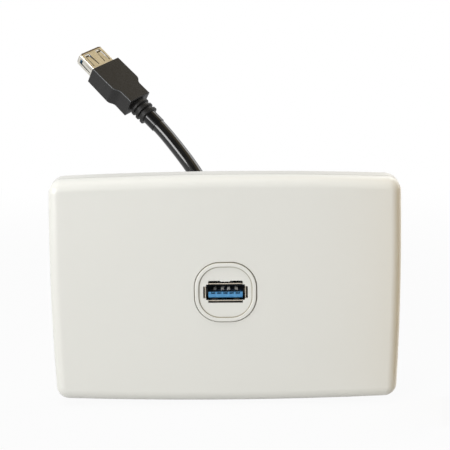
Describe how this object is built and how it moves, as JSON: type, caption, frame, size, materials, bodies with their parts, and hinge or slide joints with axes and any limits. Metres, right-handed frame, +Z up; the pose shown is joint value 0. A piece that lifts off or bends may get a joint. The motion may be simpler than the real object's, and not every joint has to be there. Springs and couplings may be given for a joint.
{
  "type": "usb wall socket plate",
  "caption": "Wall plate with a USB socket module at its centre and a short flylead behind it that ends in an inline USB socket. The cover pulls off a fixing grid.",
  "frame": {"origin": "on the wall face, midway between the two fixing slots", "axes": "+X to the right along the row of fixing slots, +Y back into the wall, +Z up"},
  "size_m": [0.1274, 0.1424, 0.1258],
  "materials": {
    "white_plastic": "semi-gloss",
    "black_plastic": "satin",
    "cable_jacket": "gloss",
    "shell_steel": "nickel plated",
    "blue_plastic": "satin",
    "contact_metal": "plated"
  },
  "bodies": {
    "base": {"grid_plate": "white_plastic", "module_housing": "white_plastic", "flylead_cable": "cable_jacket", "panel_shell": "shell_steel", "panel_insulator": "blue_plastic", "panel_overmould": "black_plastic", "panel_contact_ground": "contact_metal", "panel_contact_d_plus": "contact_metal", "panel_contact_d_minus": "contact_metal", "panel_contact_vbus": "contact_metal", "panel_contact_rx_minus": "contact_metal", "panel_contact_rx_plus": "contact_metal", "panel_contact_drain": "contact_metal", "panel_contact_tx_minus": "contact_metal", "panel_contact_tx_plus": "contact_metal", "inline_shell": "shell_steel", "inline_insulator": "blue_plastic", "inline_overmould": "black_plastic", "inline_contact_ground": "contact_metal", "inline_contact_d_plus": "contact_metal", "inline_contact_d_minus": "contact_metal", "inline_contact_vbus": "contact_metal", "inline_contact_rx_minus": "contact_metal", "inline_contact_rx_plus": "contact_metal", "inline_contact_drain": "contact_metal", "inline_contact_tx_minus": "contact_metal", "inline_contact_tx_plus": "contact_metal"},
    "cover": {"cover_plate": "white_plastic"}
  },
  "joints": [
    {"name": "cover_pull", "type": "slide", "parent": "base", "child": "cover", "axis": [0, -1, 0], "range_m": [0, 0.02]}
  ]
}
